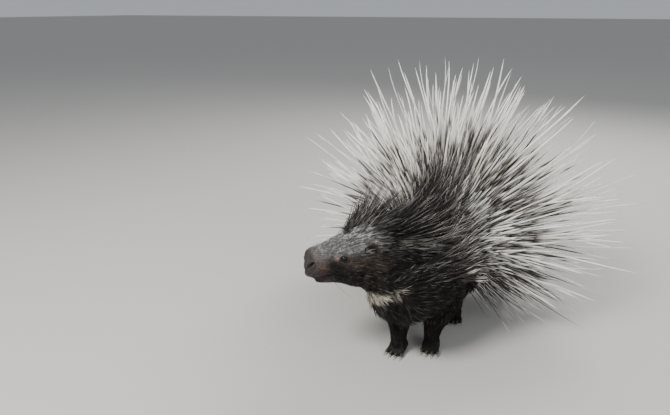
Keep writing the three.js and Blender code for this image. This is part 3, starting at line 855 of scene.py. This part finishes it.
def coat_colours(points):
    """Colour of the coat at the skin, how frosted its tips are, and where it is cream."""
    local = to_head(points)
    mirrored = on_one_side(local)
    x, y, z = mirrored.T
    on_head = smooth_step(150, 120, y) * smooth_step(-75, -60, z)
    frost = on_head * smooth_step(7, 27, z + 0.03 * (y - 60)) * smooth_step(10, 22, y)
    # Painted shade in the crease of the mouth and in the nostrils
    dark = bell(line_distance(mirrored, MOUTH_LINE), 2.6) * smooth_step(60, 45, y)
    dark = np.maximum(dark, bell(line_distance(mirrored, NOSTRIL_LINE), 2.8))
    from_ear = np.linalg.norm(mirrored - EAR_BASE - [6, -2, 7], axis=1)
    lids = bell(np.hypot((y - EYE_PLACE[1]) / 1.2, (z - EYE_PLACE[2]) / 0.9) - 5.0, 2.4)
    band = throat_collar(points)
    base = np.tile(NEAR_BLACK, (len(points), 1))
    # Cheek, muzzle, top of the head, chin, painted shade in the hollow behind the whiskers,
    # skin before the eye, whisker pad, nose, ear, painted shade along the mouth and in the nostrils, lids
    # and collar
    for colour, share in (
        (DARK_BROWN * 1.3, on_head * bell(z - 2, 17) * smooth_step(52, 78, y)),
        (FACE_BROWN, 0.9 * on_head * smooth_step(52, 32, y) * smooth_step(-20, -8, z)),
        (FROST * 0.5, 0.42 * frost),
        (CHIN_SKIN, 0.85 * on_head * smooth_step(52, 38, y) * smooth_step(-18, -24, z)),
        # Painted shade: the hollow behind the whiskers painted near-black
        (NEAR_BLACK * 0.6, 0.92 * on_head * bell(y - 53, 12) * bell(z + 13, 14)),
        (PINK_SKIN * 1.15, 0.85 * bell(y - 58, 5) * bell(z - 15, 5) * smooth_step(15, 25, x)),
        (PINK_SKIN * 0.62, 0.7 * bell(y - 27, 9) * bell(z - 2, 10) * smooth_step(12, 22, x)),
        (NOSE_SKIN, 0.92 * smooth_step(22, 13, y + 0.16 * z)),
        (DARK_BROWN * 0.6, 0.8 * smooth_step(17, 12, from_ear)),
        # Painted shade along the mouth and in the nostrils
        (NEAR_BLACK * 0.5, 0.9 * dark),
        (LID_SKIN, 0.9 * lids * smooth_step(20, 28, x) * smooth_step(120, 100, y)),
        (CREAM * 0.4, 0.9 * band),
    ):
        base = blend(base, colour, share)
    brow = bell(line_distance(mirrored, BROW_LINE), 6) * smooth_step(20, 28, x)
    along_neck = np.minimum(line_distance(points, NECK_STREAK), line_distance(points, FAR_NECK_STREAK))
    nape = smooth_step(34, 50, z) * smooth_step(215, 120, y) * smooth_step(84, 100, y)
    for share in (1.3 * brow, 1.25 * smooth_step(14, 5, along_neck), 0.75 * nape):
        frost = np.maximum(frost, share)
    return base, frost * (0.45 + 0.65 * patchy(local * [1, 0.22, 1], 9)), band


def bare(points):
    """Where no hair grows: nose pad, nostrils, lips, eyes and soles."""
    mirrored = on_one_side(to_head(points))
    eye = np.linalg.norm((mirrored - EYE_PLACE) / [1, 1.2, 0.9], axis=1) < 8.2
    mouth = line_distance(mirrored, MOUTH_LINE) < 2.6
    nostril = line_distance(mirrored, NOSTRIL_LINE) < 6
    pad = mirrored[:, 1] < 9
    return (eye | mouth | nostril | pad) & (mirrored[:, 1] < 120) | (points[:, 2] < 4)


skin = make_skin()
refine_head(skin)
carve_face(skin)
unwrap(skin)
surface = Surface(skin.data)
# The skin takes the coat's colours, with their painted shade behind the whiskers, along the mouth and in the
# nostrils
paint(skin.data, coat_colours(surface.points)[0] * 0.8)
skin.data.polygons.foreach_set("use_smooth", np.ones(len(skin.data.polygons), bool))
FLESH = ["head", "neck", "forebody", "midbody", "rump", "tail"]
FLESH += [f"{part}_{side}" for part in ("foreleg", "hindleg", "forepaw", "hindpaw") for side in SIDES]
dress(skin, skin_material, "coat", *FLESH)


def make_eye(name):
    build = bmesh.new()
    bmesh.ops.create_uvsphere(build, u_segments=40, v_segments=24, radius=EYE_RADIUS / 1000)
    place = from_head(EYE_PLACE * [SIDES[name], 1, 1])
    bmesh.ops.translate(build, verts=build.verts[:], vec=Vector(to_row(place)))
    for face in build.faces:
        face.smooth = True
    mesh = bpy.data.meshes.new("eyeball")
    build.to_mesh(mesh)
    build.free()
    dress(add_object(f"eyeball_{name}", mesh), eye_material, "eye", f"eye_{name}")


def make_ear(name):
    """A thin cupped ear, open outwards and forwards, with a rolled rim."""
    side = SIDES[name]
    around, rings = 48, 16
    angle = ring_angles(around)
    outer = [(3.0 - 9.2 * math.sqrt(1 - u * u), u) for u in np.linspace(1, 0.04, rings)]
    rim = [(3.5, 0.985), (3.9, 0.95), (3.7, 0.9)]
    inner = [(3.2 - 5.6 * math.sqrt(1 - (u / 0.9) ** 2), u) for u in np.linspace(0.88, 0.04, rings)]
    rows = outer[::-1] + rim + inner
    tilt = np.array(
        Matrix.Rotation(math.radians(-side * 22), 3, "Z")
        @ Matrix.Rotation(math.radians(-24), 3, "X")
        @ Matrix.Rotation(math.radians(side * 16), 3, "Y")
    )
    middle = EAR_BASE * [side, 1, 1] + np.array([side * 4, 0, EAR_SIZE[1] * 0.35])
    ripple = 1 + 0.03 * np.sin(3 * angle + 0.7) + 0.02 * np.sin(7 * angle)
    points = []
    for k, (depth, u) in enumerate(rows):
        fold = 0.7 * np.sin(5 * angle + 4 * u) * (1 - u) * (k > rings)
        width, height = EAR_SIZE[0] * u * np.cos(angle), EAR_SIZE[1] * u * np.sin(angle)
        local = np.stack([side * (depth + fold), width * ripple, height * ripple], axis=1)
        points.append(local @ tilt.T + middle)
    points = from_head(np.vstack(points))
    loops = np.array(quads(len(rows) - 1, around))
    loops = (loops[:, ::-1] if side > 0 else loops).ravel()
    mesh = fast_mesh("ear", to_row(points), loops, np.full(len(loops) // 4, 4))
    row = np.repeat(np.arange(len(rows)), around)
    # The inside of the cup is painted darker than the outside: painted shade in the ear's hollow
    colours = blend(np.tile(DARK_BROWN, (len(points), 1)), DARK_BROWN * 0.55, row > rings)
    paint(mesh, blend(colours, PINK_SKIN * 0.24, 0.8 * bell(row - rings - 1.0, 1.6)))
    lay_out(mesh, (to_head(points)[:, 1:] / 400 + [0.1 if side > 0 else 0.6, 0.3])[loops])
    dress(add_object(f"ear_shell_{name}", mesh), skin_material, "face", f"ear_{name}")
    return points.reshape(-1, around, 3)


def make_claws():
    roots, ways, lengths = [], [], []
    for name, side in SIDES.items():
        for paw in (FORE, HIND):
            matrix = paw_frame(side, paw[name], paw["out"])
            for x, _, reach in toe_places(paw):
                roots.append(matrix[:3, :3] @ [x * 1.07, reach + 2.5, 7.2] + matrix[:3, 3])
                ways.append(matrix[:3, :3] @ unit(np.array([x * 0.006, -1, -0.08])))
                lengths.append(paw["claw"])
    count = len(roots)
    add_strands(
        "claws", claw_material, "paw", np.array(roots), np.array(ways), np.tile([0, 0, -0.36], (count, 1)),
        np.array(lengths, float), np.full(count, 2.2),
        lambda share: blend(CLAW_DARK, CLAW_PALE, smooth_step(0.3, 1.0, share)), surface.settle(roots)[1],
        9, 10, lambda step: np.clip(1 - step**1.5, 0.02, 1), sink=3, flat=1.25,
    )


# Hair
def on_left(points):
    """Which points lie left of the middle of the body, which bends with the turn of the neck."""
    middle = np.interp(points[:, 1], [-62, -26, 28, 72], [-62, -34, -10, 0])
    return points[:, 0] > middle


def face_coat():
    tufts = Tufts(3.2, 3, 1.0, lambda p: (to_head(p)[:, 1] < 126) & (to_head(p)[:, 2] > -78) & ~bare(p))
    mirrored = on_one_side(to_head(tufts.roots))
    y = mirrored[:, 1]
    base, frost, band = coat_colours(tufts.roots)
    from_eye = np.linalg.norm(mirrored - EYE_PLACE, axis=1)
    length = np.interp(y, [5, 22, 45, 80, 126], [2.2, 4.0, 8, 13, 26])
    length = length * rng.uniform(0.7, 1.25, tufts.count) * (0.3 + 0.7 * smooth_step(9, 26, from_eye))
    near_ear = bell(np.linalg.norm(mirrored - EAR_BASE - [2, -8, 2], axis=1), 14)
    pale = (rng.random(tufts.count) < 0.1 + 0.66 * frost) * (0.15 + 0.85 * frost)
    wisp = some(tufts.count, 0.22, 0.2, 0.8)
    tip = blend(base * 1.5, TAN_HAIR, wisp * smooth_step(30, 60, y))
    bright = smooth_step(45, 100, y)[:, None] * [0.5, 0.5, 0.46]
    tip = blend(tip, FROST * (1.5 + bright), pale * rng.uniform(0.45, 1.0, tufts.count))
    tip = blend(tip, CREAM, band)
    shade = (0.45 + 1.1 * tufts.tone)[:, None]
    radius = np.interp(y, [5, 40, 126], [0.2, 0.38, 0.55]) * (0.9 + 0.35 * pale)
    direction = tufts.direction(14 + 20 * near_ear, 6, 0.14)
    tufts.grow("face_hair", "face", direction, -tufts.normals * 0.14, length, radius, base * shade,
               tip * shade, (0.3, 0.75), 4, 0.8)


def nose_velvet():
    """Very short dense hair over the nose and lips, up to the edge of the nostrils."""
    def wanted(points):
        mirrored = on_one_side(to_head(points))
        nostril = line_distance(mirrored, NOSTRIL_LINE) > 2.6
        mouth = line_distance(mirrored, MOUTH_LINE) > 1.6
        return (mirrored[:, 1] < 30) & (mirrored[:, 2] > -50) & nostril & mouth

    tufts = Tufts(2.2, 3, 0.9, wanted)
    base = coat_colours(tufts.roots)[0]
    length = np.interp(to_head(tufts.roots)[:, 1], [0, 8, 18, 30], [1.0, 1.5, 2.2, 3.2])
    length = length * rng.uniform(0.7, 1.2, tufts.count)
    tip = blend(base * 1.25, FROST, some(tufts.count, 0.16, 0.1, 0.4))
    shade = (0.5 + 0.9 * tufts.tone)[:, None]
    tufts.grow("nose_velvet", "face", tufts.direction(24, 8, 0.2), -tufts.normals * 0.2, length,
               np.full(tufts.count, 0.27), base * shade, tip * shade, (0.3, 0.8), 4, 0.5)


def ear_hair(name, shell):
    """Short hair on the outside of an ear, a fringe on its rim and wisps across its opening."""
    side = SIDES[name]
    count, wisps = 620, 260
    total = count + wisps
    row = rng.integers(5, 19, count)
    roots = shell[row, rng.integers(0, shell.shape[1], count)]
    radial = unit(roots - shell[0].mean(axis=0))
    back = HEAD_AXES @ unit(np.array([side * 0.35, 1.0, 0.3]))
    on_rim = row >= 15
    ways = unit(radial * np.where(on_rim, 0.7, 0.35)[:, None] + back + rng.normal(0, 0.16, (count, 3)))
    length = np.where(on_rim, rng.uniform(4, 8.5, count), rng.uniform(5, 10, count))
    spots = EAR_BASE * [side, 1, 1] + np.stack([
        side * rng.uniform(1, 5, wisps), rng.uniform(-14, -2, wisps), rng.uniform(-10, 15, wisps)
    ], axis=1)
    over = unit(np.array([side * 0.5, 1.0, 0.25]) + rng.normal(0, 0.16, (wisps, 3))) @ HEAD_AXES.T
    roots, ways = np.vstack([roots, surface.settle(from_head(spots))[0]]), np.vstack([ways, over])
    length = np.concatenate([length, rng.uniform(13, 24, wisps)])
    pale = some(total, 0.3, 0.2, 0.8)
    base = DARK_BROWN * rng.uniform(0.5, 1.4, (total, 1))
    tip = blend(base * 1.6, FROST * [1.1, 1.02, 0.95], pale)
    add_strands(
        f"ear_hair_{name}", hair_material, "face", roots, ways, np.tile(back * 0.12, (total, 1)), length,
        rng.uniform(0.22, 0.4, total), grade(base, tip, 0.3, 0.8), surface.settle(roots)[1],
        5, 3, hair_profile, sink=0.6,
    )


def on_body(points):
    local = to_head(points)
    return ((local[:, 1] >= 118) | (local[:, 2] < -70)) & (points[:, 2] > 4)


def body_coat(name, spacing, strands, wanted, length_by_height, radius, rise, pale_share):
    """The coat of one part of the body, in a left and a right piece."""
    tufts = Tufts(spacing, strands, spacing * 0.3, lambda p: on_body(p) & wanted(p[:, 1], p[:, 2]))
    base, frost, band = coat_colours(tufts.roots)
    length = np.interp(tufts.roots[:, 2], *length_by_height) * rng.uniform(0.65, 1.2, tufts.count)
    length = length * (1 - 0.25 * band)
    fleck = some(tufts.count, pale_share + 0.5 * frost, 0.1, 0.55 + 0.45 * frost)
    tip = blend(base * 1.5, FROST * ([0.86, 0.8, 0.74] + 0.4 * frost[:, None]), fleck)
    tip = blend(tip, CREAM, band)
    shade = (0.65 + 0.7 * tufts.tone)[:, None]
    direction = tufts.direction(rise, 5, 0.13)
    left = on_left(tufts.roots)
    for side, part in (("left", left), ("right", ~left)):
        tufts.grow(f"{name}_{side}", "coat", direction, -tufts.normals * 0.2, length,
                   np.full(tufts.count, radius), base * shade, tip * shade, (0.4, 0.8), 4, 1.5, part)


def from_spine(points):
    """Degrees down from the spine, to either side."""
    return np.degrees(np.arctan2(np.abs(points[:, 0]), points[:, 2] - 185))


def crest_hairs():
    """The raised bristles from between the ears over the nape, neck and shoulders."""
    def wanted(points):
        local = to_head(points)
        crown = (local[:, 1] > 84) & (local[:, 2] > 34)
        before_quills = points[:, 1] < table(START_BY_ANGLE, from_spine(points)) - 4
        return (on_body(points) | crown) & before_quills & (points[:, 2] > 175)

    tufts = Tufts(7.0, 4, 2.8, wanted)
    y, angle = tufts.roots[:, 1], from_spine(tufts.roots)
    high = smooth_step(0.1, 0.85, tufts.normals[:, 2])
    back = smooth_step(-100, -10, y)
    length = table(CREST_BY_Y, y) * (0.26 + 0.74 * high**2.2) * rng.uniform(0.5, 1.06, tufts.count)
    beside = smooth_step(95, 35, table(START_BY_ANGLE, angle) - y) * smooth_step(16, 32, angle)
    length = length * (1 - 0.66 * beside)
    rise = 8 + 9 * back + (1 + 47 * back) * high**1.6 * (1 - 0.45 * beside)
    direction = tufts.direction(rise, 6, 0.12)
    pale = some(tufts.count, 0.42, 0.25, 1.0)
    pale = np.maximum(pale, coat_colours(tufts.roots)[1] * rng.uniform(0.2, 1, tufts.count))
    dark = NEAR_BLACK * (0.8 + 1.3 * tufts.tone)[:, None]
    tip = blend(dark * 1.4, FROST * [1.0, 0.95, 0.88], pale)
    edge = rng.uniform(0.45, 0.8, tufts.count)[:, None]
    tufts.grow("crest_bristles", "coat", direction, tufts.ways * 0.16 - tufts.normals * 0.04, length,
               rng.uniform(0.4, 0.7, tufts.count), dark, tip, (edge, edge + 0.12), 6, 3)


# Quills
def quill_roots(count, start, lowest, highest):
    """Roots spread evenly over the back, flanks and rump, so fewer where the body is narrow.

    Angles are degrees up from the side.
    """
    t = rng.uniform(0.25, 0.985, count * 6)
    angle = rng.uniform(lowest, highest, count * 6)
    row = torso.read(t)
    from_y = table(START_BY_ANGLE, 90 - angle) + start + rng.normal(0, 5, len(t))
    keep = (row[:, 1] > from_y) & (rng.random(len(t)) < (row[:, 3] + 12) / 113)
    t, angle = t[keep][:count], np.radians(angle[keep][:count])
    angle = np.where(rng.random(len(t)) < 0.5, angle, math.pi - angle)
    return torso.point(t, angle, -COAT_DEPTH["torso"]), torso.normal(t, angle)


def banded(count, starts, widths, parted=0.0):
    """Pale quills with a dark band each, given as shares of their length: where it starts, how wide it is
    and how often a narrow pale ring parts it in two."""
    softness = 0.04
    low = rng.uniform(*starts, count)
    high = (low + rng.uniform(*widths, count))[:, None]
    low = low[:, None]
    shade = rng.uniform(0.8, 1.04, count)[:, None, None]
    ring = high - rng.uniform(0.16, 0.32, (count, 1))
    ringed = rng.random((count, 1)) < parted

    def tones(share):
        dark = smooth_step(low - softness, low + softness, share)
        dark = dark * smooth_step(high + softness, high - softness, share)
        dark = dark * (1 - ringed * smooth_step(0.09, 0.05, np.abs(share - ring)))
        pale = blend(HORN_CREAM, HORN_WHITE, smooth_step(0.25, 0.75, share)) * shade
        return pale + (HORN_DARK - pale) * dark[..., None]

    return tones


def kept_in_box(roots, direction, sag, length):
    """Lengths cut back where a tip would stand out of the solids' box."""
    low, high = np.array(cad_box) * 1000 - SHIFT
    low, high = low - [BOX_MARGIN, BOX_MARGIN, -FLOOR_GAP], high + BOX_MARGIN
    length = length.copy()
    for _ in range(36):
        tips = roots + (direction + sag) * length[:, None]
        outside = ((tips < low) | (tips > high)).any(axis=1)
        length[outside] *= 0.96
    return length


def add_quills(name, count, start, angles, scale, radius, band, rings, sides, bend, lift=0.0,
               droop=(0, 0, 0), profile=quill_profile, longest=400):
    """A layer of quills: how far behind the start line its roots begin, the angles that it covers, its
    share of the full length, its radii, and how much its quills bend, lift and droop."""
    roots, normals = quill_roots(count, start, *angles)
    count = len(roots)
    y = roots[:, 1]
    radial = unit(normals * [1, 0, 1])
    lean = np.radians(table(LEAN_BY_Y, y) + rng.normal(0, 6, count) + lift)
    low = np.clip(-radial[:, 2], 0, 1)
    direction = radial * np.cos(lean)[:, None] + np.array([0, 1, 0]) * np.sin(lean)[:, None]
    sideways, upwards = rng.normal(0, 0.045, count), rng.normal(0, 0.045, count)
    direction = unit(direction + np.stack([sideways, np.zeros(count), upwards + low * 0.12], axis=1))
    length = np.minimum(table(LENGTH_BY_Y, y), longest) * (1 - 0.42 * low) * rng.uniform(*scale, count)
    thin = 1 - 0.4 * smooth_step(0.2, 0.6, low)
    sag = np.stack([rng.normal(0, bend, count) for _ in range(3)], axis=1) + [0, 0.05, -0.02] + droop
    sways = rng.normal(0, bend * 0.22, (count, 3))
    length = kept_in_box(roots, direction, sag, length)
    add_strands(
        name, quill_material, "quills", roots, direction, sag, length, rng.uniform(*radius, count) * thin,
        banded(count, *band), surface.settle(roots)[1], rings, sides, profile, sink=6, sways=sways,
    )


def make_rattles():
    count = 26
    t = rng.uniform(0.5, 0.95, count)
    angle = ring_angles(count) + rng.normal(0, 0.1, count)
    roots = tail.point(t, angle, -COAT_DEPTH["tail"])
    direction = unit(tail.normal(t, angle) * 0.5 + np.array([0, 1, 0]))
    length = 50 * rng.uniform(0.75, 1.08, count)
    add_strands(
        "rattle_quills", quill_material, "quills", roots, direction, np.zeros((count, 3)), length,
        rng.uniform(2.2, 2.9, count), plain(HORN_WHITE * 0.95), surface.settle(roots)[1], 14, 10,
        lambda step: np.interp(step, [0, 0.3, 0.45, 0.9, 1], [0.3, 0.34, 1, 0.95, 0.7]), sink=4,
    )


def make_whiskers():
    roots, ways = [], []
    for side in SIDES.values():
        for _ in range(22):
            y, z = rng.uniform(14, 44), rng.uniform(-16, 6)
            roots.append([side * np.interp(y, [10, 25, 45], [25, 30, 33]), y, z])
            ways.append([side * rng.uniform(0.7, 1.2), rng.uniform(0.1, 0.9), rng.uniform(-0.5, 0.35)])
    ways = unit(np.array(ways)) @ HEAD_AXES.T
    roots, places = surface.settle(from_head(np.array(roots)))
    count = len(roots)
    bends = np.tile(HEAD_AXES @ np.array([0, 0.3, -0.12]), (count, 1))
    add_strands(
        "whiskers", hair_material, "face", roots, ways, bends, rng.uniform(35, 78, count),
        np.full(count, 0.3), plain(NEAR_BLACK * 0.8), places, 8, 4, hair_profile, sink=1,
    )


for name in SIDES:
    make_eye(name)
for name in SIDES:
    ear_hair(name, make_ear(name))
make_claws()
nose_velvet()
face_coat()

# Where the front coat gives way to that of the flanks along the body, and to that of the legs below
BACK_START, LEG_TOP = 95, 78
body_coat("front_coat", 4.95, 4, lambda y, z: (y < BACK_START) & (z > LEG_TOP),
          ([70, 120, 240], [20, 30, 34]), 0.6, 17, 0.2)
body_coat("flank_coat", 9.0, 4, lambda y, z: (y >= BACK_START) & (z > LEG_TOP),
          ([70, 120, 240], [20, 34, 40]), 0.9, 24, 0.08)
body_coat("leg_coat", 4.1, 3, lambda y, z: z <= LEG_TOP, ([2, 15, 78], [1.5, 5, 18]), 0.5, 15, 0.06)
crest_hairs()

add_quills("long_quills", 370, 26, (-26, 90), (0.84, 1.0), (1.9, 2.5), ((0.06, 0.3), (0.2, 0.36), 0.7),
           16, 6, 0.07)
add_quills("slender_quills", 120, 26, (-26, 90), (0.9, 1.02), (1.1, 1.6), ((0.1, 0.35), (0.16, 0.3), 0.6),
           14, 5, 0.1)
add_quills("drooping_quills", 14, 60, (45, 90), (0.96, 1.04), (1.2, 1.6), ((0.15, 0.3), (0.14, 0.26)),
           18, 6, 0.04, droop=(0, 0.3, -0.2))
add_quills("middle_quills", 950, 14, (-36, 90), (0.34, 0.84), (1.4, 2.1),
           ((-0.3, -0.2), (0.84, 1.12), 0.6), 11, 5, 0.05)
add_quills("short_quills", 2600, -8, (-38, 90), (0.2, 0.5), (0.9, 1.5), ((-0.3, -0.2), (0.84, 1.06), 0.3),
           7, 4, 0.06, lift=10, profile=slim_profile)
add_quills("fleck_quills", 3000, -66, (-4, 84), (0.42, 0.74), (0.9, 1.4), ((-0.3, -0.2), (0.94, 1.1)),
           6, 4, 0.07, lift=32, profile=slim_profile)
add_quills("mane_quills", 1300, -44, (36, 86), (0.5, 1.0), (0.8, 1.3), ((-0.3, -0.2), (1.0, 1.14)),
           7, 4, 0.06, lift=14, profile=slim_profile, longest=140)
add_quills("under_quills", 520, 4, (-54, -14), (0.45, 1.2), (1.1, 1.5), ((-0.3, -0.2), (0.95, 1.14)),
           7, 4, 0.06, profile=slim_profile)
make_rattles()
make_whiskers()


# Floor, light and camera
def make_stage():
    bpy.ops.mesh.primitive_plane_add(size=80, location=(0, 0, 0))
    floor = bpy.context.object
    floor.name = "floor"
    material, shader = new_material("floor", 0.85, 0.3)
    shader.inputs["Base Color"].default_value = (*FLOOR_GREY, 1)
    floor.data.materials.append(material)
    world = bpy.data.worlds.new("studio")
    world.use_nodes = True
    sky = world.node_tree.nodes["Background"]
    sky.inputs["Color"].default_value = (*SKY_BLUE, 1)
    sky.inputs["Strength"].default_value = SKY_STRENGTH
    bpy.context.scene.world = world


def make_lights():
    for name, (place, width, power, colour) in LIGHTS.items():
        light = bpy.data.lights.new(name, "AREA")
        light.shape = "DISK"
        light.size = width
        light.energy = power
        light.color = colour
        obj = add_object(name, light)
        obj.location = place
        obj.rotation_euler = (Vector(LIGHTS_AIM) - Vector(place)).to_track_quat("-Z", "Y").to_euler()


def make_camera():
    camera = bpy.data.cameras.new("camera")
    camera.sensor_width = SENSOR
    camera.lens = FOCAL
    camera.clip_start = 0.01
    obj = add_object("camera", camera)
    obj.location = to_row(CAMERA_PLACE)
    obj.rotation_euler = (math.pi / 2 - CAMERA_PITCH, 0, CAMERA_TURN)
    bpy.context.scene.camera = obj


make_stage()
make_lights()
make_camera()
